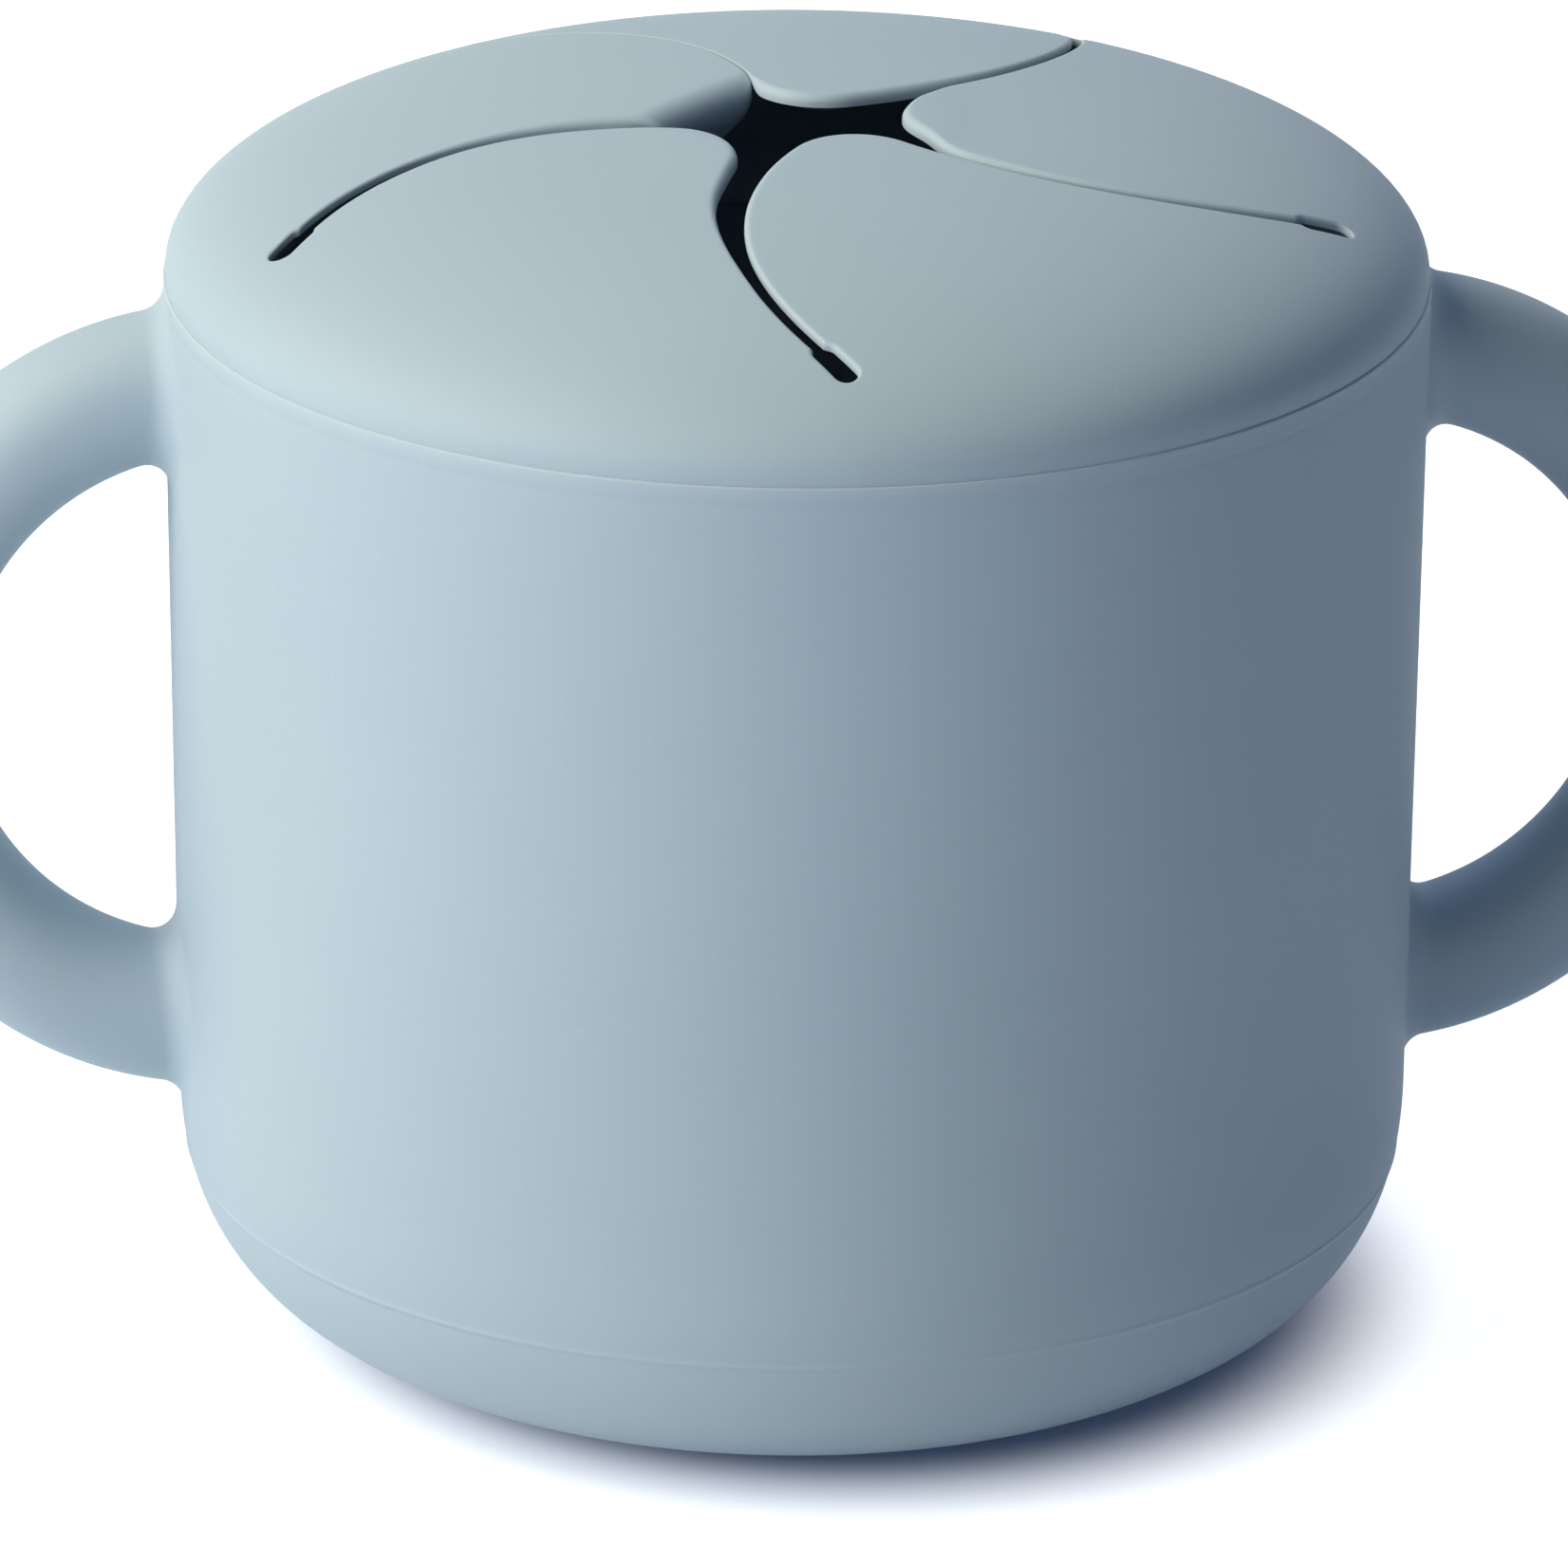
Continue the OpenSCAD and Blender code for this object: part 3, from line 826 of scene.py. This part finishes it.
print(f"the skirt goes down to {rim_and_skirt()[1].min():.1f} mm")

# %% The rows of the ring
JOIN_R = 30.0
PLAIN_TO_R, NEAR_HOLE_R = 35.3, 35.5
BEHIND = 0.5
PLAIN_ROWS, HOLE_ROWS, END_ROWS = 12, 34, 11
BEHIND_ROWS, SHOULDER_ROWS, UNDER_ROWS = 9, 16, 8


def dome_rows(start, end, edge, steps):
    """Distances from the axis between two, in even steps of the angle on a ball of the edge's radius."""
    return edge * np.sin(np.linspace(np.arcsin(start / edge), np.arcsin(end / edge), steps))


plain_rows = np.linspace(JOIN_R, PLAIN_TO_R, PLAIN_ROWS)
hole_rows = np.linspace(NEAR_HOLE_R, RELIEF_FAR_R, HOLE_ROWS)[:-1]
end_rows = RELIEF_FAR_R + RELIEF_R * np.sin(np.linspace(0, np.pi / 2, END_ROWS))
cut_rows = np.concatenate([plain_rows, hole_rows, end_rows])
behind_rows = HOLE_END_R + BEHIND * easing(BEHIND_ROWS)[1:]
shoulder_rows = dome_rows(behind_rows[-1], lid_side_r(LIP_FROM), LID_R, SHOULDER_ROWS)[1:]
inner_rows = dome_rows(PLUG_IN_R, HOLE_END_R, PLUG_IN_R, UNDER_ROWS)[1:-1]
print(len(cut_rows), "rows beside the slits and", len(behind_rows) + len(shoulder_rows), "over the shoulder")

# %% A fifth of the ring
def edge_walls(top_rows, under_rows, columns):
    """Cells of the two upright walls at the slits, between rows of the top and rows of the underside."""
    walls = []
    for column in (0, columns - 1):
        top, under = top_rows * columns + column, under_rows * columns + column
        walls.append(np.stack([top[:-1], top[1:], under[1:], under[:-1]], -1))
    return np.concatenate(walls)


def skirt_fifth():
    """A fifth of the rim and skirt: their outline, carried from one relief hole's direction to the next."""
    r, z = rim_and_skirt()
    low, high = np.full(len(r), HOLE_END_TURN), np.full(len(r), HOLE_END_TURN + STEP)
    turn = across_row(low, high, np.full(len(r), MOUTH_R))
    x, y = r[:, None] * np.cos(turn), r[:, None] * np.sin(turn)
    return np.stack([x, y, np.broadcast_to(z[:, None], turn.shape)], -1)


def ring_fifth(fifth):
    """One fifth of the ring: top, rim, skirt and underside, as one grid whose last row is its first."""
    cut_top, cut_under, cut_wear_and_highlight = top_and_under(fifth, cut_rows)
    top, _, top_wear_and_highlight = top_and_under(fifth, np.concatenate([behind_rows, shoulder_rows]))
    _, under, _ = top_and_under(fifth, inner_rows)
    skirt = skirt_fifth()
    grid = np.concatenate([cut_top, top, skirt, under, cut_under[::-1], cut_top[:1]])
    # The edge mask, for wear and a painted highlight on the rounded edges; the hidden parts get none
    hidden = [np.zeros(part.shape[:2]) for part in (skirt, under, cut_under)]
    wear_and_highlight = np.concatenate([cut_wear_and_highlight, top_wear_and_highlight, *hidden, cut_wear_and_highlight[:1]])
    rows, columns = grid.shape[:2]
    row = np.arange(len(cut_rows))
    cells = np.concatenate([grid_cells(rows, columns), edge_walls(row, rows - 2 - row, columns)])
    return grid.reshape(-1, 3), cells, wear_and_highlight.ravel()


ring = [ring_fifth(fifth) for fifth in fifths]
print("each fifth of the ring has", len(ring[0][0]), "points before it is welded")

# %% Make the lid
points = np.concatenate([turned_to(part[0], k) for k, part in enumerate(ring)])
cells = np.concatenate([part[1] + k * len(part[0]) for k, part in enumerate(ring)])
# The lid's edge mask, for wear and a painted highlight on its rounded edges
lid_wear_and_highlight = np.concatenate([part[2] for part in ring])
make_piece("soft_lid", points, cells, "lid", ["lid_cap", "lid_plug"], lid_silicone, lid_wear_and_highlight)

# %% [markdown]
# ## The flaps
# On the real lid the flaps are part of the same skin and bend near their roots. Each is its own piece here.
# Silicone flaps that have been pushed don't rest quite level, so three of them are moved by up to a few
# millimetres, which opens some slits and closes others, and the tip of a fourth is curled down.

# %% Where the flaps bend and how they rest
BEND_AT = 22.0
BEND_HALF = 2.0
BEND_H = 85.8
BEND_TURN = STEP / 2 - float(circle_turn(BEND_AT / math.cos(STEP / 2), SLIT_R))
# For each flap: how far it has been pushed as a whole and at its tip alone, as (away from the axis,
# sideways, up), and how its tip curls: (way that it curls, from the flap's own, start, length, angle)
REST_SHAPES = [
    {},
    {"curl": (-13.7, -9.4, 2.6, 122.0)},
    {"all": (0.81, -0.88, -0.35), "tip": (0.68, -0.73, 0.0)},
    {"all": (0.15, 0.26, 0.0)},
    {"tip": (2.8, -0.6, 0.0)},
]
# Distances from the axis between which a push grows from nothing to its whole
ALL_FADE, TIP_FADE = (29.5, 12.0), (14.0, 5.0)


def on_bend(k, far):
    """A point at the height of a flap's bend, so far from the axis in its direction, in metres."""
    angle = SLIT_TURN + STEP * k + END_TURN + BEND_TURN
    return far * MM * math.cos(angle), far * MM * math.sin(angle), BEND_H * MM


print("the bend of the first flap in metres:", [round(float(v), 4) for v in on_bend(0, BEND_AT)])

# %% Push and curl a flap
CURL_EASE = 1.3
CURL_RUN, CURL_STEPS = 14, 400
SHEET_MID_H = CUP_H + LID_RISE - LID_T / 2


def pushed(points, push, fade):
    """Move points by a push times a smooth share that grows from 0 to 1 on the way towards the axis."""
    far, near = fade
    share = smooth_step((far - np.hypot(points[:, 0], points[:, 1])) / (far - near))[:, None]
    c, s = math.cos(BEND_TURN), math.sin(BEND_TURN)
    return points + share * np.array([push[0] * c - push[1] * s, push[0] * s + push[1] * c, push[2]])


def curled(points, way, start, length, angle):
    """Curl a tip down: along the way of the curl, the slope grows to its angle, and the length is kept."""
    turn = BEND_TURN + math.pi + math.radians(way)
    run = np.linspace(0, CURL_RUN, CURL_STEPS)
    slope = math.radians(angle) * np.clip(run / length, 0, 1) ** CURL_EASE
    ahead = np.concatenate([[0], np.cumsum(np.cos(slope[1:]) * run[1])])
    down = np.concatenate([[0], np.cumsum(np.sin(slope[1:]) * run[1])])
    past = points[:, 0] * math.cos(turn) + points[:, 1] * math.sin(turn) - start
    tilt, level = np.interp(past, run, slope), points[:, 2] - SHEET_MID_H
    moved = np.interp(past, run, ahead) - np.clip(past, 0, None) + level * np.sin(tilt)
    sunk = np.interp(past, run, down) + level * (1 - np.cos(tilt))
    return points + np.column_stack([moved * math.cos(turn), moved * math.sin(turn), -sunk])


def resting(points, shape):
    """A flap's points as it rests: curled, pushed as a whole and pushed at its tip."""
    if "curl" in shape:
        points = curled(points, *shape["curl"])
    points = pushed(points, shape.get("all", (0, 0, 0)), ALL_FADE)
    return pushed(points, shape.get("tip", (0, 0, 0)), TIP_FADE)


on_axis = np.array([[0.0, 0.0, SHEET_MID_H]])
sunk = on_axis - curled(on_axis, *REST_SHAPES[1]["curl"])
print(f"this curl would take a point on the axis down by {sunk[0, 2]:.1f} mm")

# %% Make the flaps
TIP_ZONE, TIP_NEXT = 0.6, 0.85
FLAP_ROWS = 70


def flap_fifth(fifth):
    """One flap: its top, its underside, the walls along both slits and the hidden face at the join."""
    at_tip = fifth.tip_at + TIP_ZONE * eased
    r = np.concatenate([at_tip, np.linspace(fifth.tip_at + TIP_NEXT, JOIN_R, FLAP_ROWS)])
    top, under, edge_wear_and_highlight = top_and_under(fifth, r)
    rows, columns = top.shape[:2]
    side = grid_cells(rows, columns)
    row, column = np.arange(rows), np.arange(columns - 1)
    top_end, under_end = (rows - 1) * columns + column, (2 * rows - 1) * columns + column
    join = np.stack([top_end, top_end + 1, under_end + 1, under_end], -1)
    cells = np.concatenate([side, side + rows * columns, edge_walls(row, rows + row, columns), join])
    points = np.concatenate([top.reshape(-1, 3), under.reshape(-1, 3)])
    # The top's edge mask, for wear and a painted highlight; the underside gets none
    return points, cells, np.append(edge_wear_and_highlight, np.zeros(edge_wear_and_highlight.shape))


for k, fifth in enumerate(fifths):
    points, cells, wear_and_highlight = flap_fifth(fifth)
    points = turned_to(resting(points, REST_SHAPES[k]), k)
    flap = make_piece(f"soft_flap_{k + 1}", points, cells, None, [f"flap_{k + 1}"],
                      lid_silicone, wear_and_highlight)
    ends = on_bend(k, BEND_AT + BEND_HALF), on_bend(k, BEND_AT - BEND_HALF)
    f"flap_{k + 1}_body"
    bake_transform(flap)

# %% [markdown]
# ## Floor, light and camera
# The cup stands on a seamless white sheet. Two large softboxes on the left, one low and one high, model the
# round wall and the dome. A weaker one behind and the room fill the shaded side with a cooler light. More
# lamps could turn the sheet white, but they would also flatten the cup. So the sheet glows instead, only for
# the rays that bring it into view, directly, in a gloss or through glass, and in view the paper is a darker,
# bluer copy of itself. From a little outside the resting face inwards, over a disc set off a little towards
# the right front, the glow fades to almost nothing: that dark disc is a painted shadow under the cup. The
# glow is added to the lit paper, so farther out the sheet keeps the lamps' softer shadow.

# %% The white sheet
HALF_SHEET = 3.0
# Middle and edge of the painted shadow: a disc round the foot inside which the glow fades to a dark blue
PAINTED_SHADOW_MID = (3.6 * MM, -1.4 * MM, 0)
GLOW_FROM, GLOW_FULL = 30.5, 45.5
GLOW_IN_PAINTED_SHADOW, GLOW_FAR = (0.02, 0.03, 0.06, 1), (0.945, 0.965, 1, 1)
# The paper itself, and the darker, bluer copy seen in view: painted shade that tints the shadow
PAPER, PAINTED_SHADE_PAPER = (0.84, 0.88, 0.96, 1), (0.38, 0.42, 0.47, 1)


def sheet_finish():
    """White paper, which in view is a darker, bluer copy that glows, except in a painted shadow round the foot.
    """
    recipe = Recipe("white_sheet")
    place = recipe.node("ShaderNodeTexCoord", output="Object")
    between = {0: place, 1: PAINTED_SHADOW_MID}
    distance = recipe.node("ShaderNodeVectorMath", {"operation": "DISTANCE"}, between, output="Value")
    # The glow fades out towards the foot: a painted shadow
    outside_painted_shadow = recipe.ramp(distance, GLOW_FROM * MM, GLOW_FULL * MM)
    paper = recipe.node("ShaderNodeBsdfDiffuse", {}, {"Color": PAPER})
    painted_shade_paper = recipe.node("ShaderNodeBsdfDiffuse", {}, {"Color": PAINTED_SHADE_PAPER})
    glow = recipe.node("ShaderNodeEmission", {}, {"Color": recipe.mix(outside_painted_shadow, GLOW_IN_PAINTED_SHADOW, GLOW_FAR)})
    lit = recipe.node("ShaderNodeAddShader", {}, {0: painted_shade_paper, 1: glow})
    shown = recipe.node("ShaderNodeMixShader", {}, {0: recipe.looked_at(), 1: paper, 2: lit})
    recipe.node("ShaderNodeOutputMaterial", {}, {"Surface": shown})
    return recipe.made


corners = [(x * HALF_SHEET, y * HALF_SHEET, 0) for x, y in ((-1, -1), (1, -1), (1, 1), (-1, 1))]
sheet_mesh = bpy.data.meshes.new("white_sheet")
sheet_mesh.from_pydata(corners, [], [(0, 1, 2, 3)])
sheet_mesh.materials.append(sheet_finish())
sheet = bpy.data.objects.new("white_sheet", sheet_mesh)
bpy.context.scene.collection.objects.link(sheet)
print(f"a sheet {2 * HALF_SHEET} m wide, which glows from {GLOW_FROM} mm off the shadow's middle")

# %% The room
ROOM = (0.40, 0.60, 1.0, 1)
ROOM_LIGHT = 0.162
recipe = Recipe("room", bpy.data.worlds)
room = recipe.node("ShaderNodeBackground", {}, {"Color": ROOM, "Strength": ROOM_LIGHT})
backdrop = recipe.node("ShaderNodeBackground", {}, {"Color": (1, 1, 1, 1)})
shown = recipe.node("ShaderNodeMixShader", {}, {0: recipe.looked_at(), 1: room, 2: backdrop})
recipe.node("ShaderNodeOutputWorld", {}, {"Surface": shown})
bpy.context.scene.world = recipe.made
bpy.context.scene.view_settings.view_transform = "Standard"
print(f"a room with light of strength {ROOM_LIGHT} and a white backdrop")

# %% Aim a camera or a lamp
def directions(turn, rise, roll=0.0):
    """Right, up and backward of what looks at the cup from a turn and a rise, with a roll, in degrees."""
    turn, rise, roll = math.radians(turn), math.radians(rise), math.radians(roll)
    back = np.array([math.cos(turn) * math.cos(rise), math.sin(turn) * math.cos(rise), math.sin(rise)])
    side = np.array([-math.sin(turn), math.cos(turn), 0])
    up = np.cross(back, side)
    c, s = math.cos(roll), math.sin(roll)
    return side * c + up * s, up * c - side * s, back


def placed(name, data, right, up, back, place):
    """Put a camera or a lamp in the scene: its three directions turn it, and its place is in metres."""
    thing = bpy.data.objects.new(name, data)
    matrix = np.eye(4)
    matrix[:3, :3] = np.column_stack([right, up, back])
    matrix[:3, 3] = place
    thing.matrix_world = Matrix(matrix.tolist())
    bpy.context.scene.collection.objects.link(thing)
    return thing


print("seen from the front, right is", directions(-90, 0)[0].round(3).tolist())

# %% The camera
CAMERA_TURN = -96.35
CAMERA_RISE = 21.72
CAMERA_ROLL = 0.385
CAMERA_FAR = 900.0
FOCUS_PX = 13289.18
PICTURE_PX = 1652
SENSOR = 36.0
AIM = np.array([-0.691, 0.077, 38.026])

right, up, back = directions(CAMERA_TURN, CAMERA_RISE, CAMERA_ROLL)
camera_data = bpy.data.cameras.new("camera")
camera_data.lens = FOCUS_PX * SENSOR / PICTURE_PX
camera_data.sensor_width = SENSOR
camera = placed("camera", camera_data, right, up, back, (AIM + CAMERA_FAR * back) * MM)
bpy.context.scene.camera = camera
print(f"camera {CAMERA_FAR:.0f} mm away, lens {camera_data.lens:.1f} mm")

# %% The softboxes
LAMP_SIZE = 0.6
LAMP_FAR = 1.0
LAMP_AIM = np.array([0, 0, 0.045])


def softbox(name, turn, rise, watts, colour):
    """A square area lamp, aimed at the middle of the cup from a turn and a rise in degrees."""
    lamp_data = bpy.data.lights.new(name, "AREA")
    lamp_data.shape = "SQUARE"
    lamp_data.size = LAMP_SIZE
    lamp_data.energy = watts
    lamp_data.color = colour
    right, up, back = directions(turn, rise)
    return placed(name, lamp_data, right, up, back, LAMP_AIM + back * LAMP_FAR)


lamps = [
    softbox("key_softbox", -154.35, 24, 7.40, (0.951, 0.965, 0.965)),
    softbox("side_softbox", 178.65, 50, 6.15, (1.0, 0.90, 0.58)),
    softbox("rear_softbox", 83.65, 45, 2.40, (0.58, 0.74, 1.0)),
]
print("softboxes of", [round(lamp.data.energy, 2) for lamp in lamps], "watts")
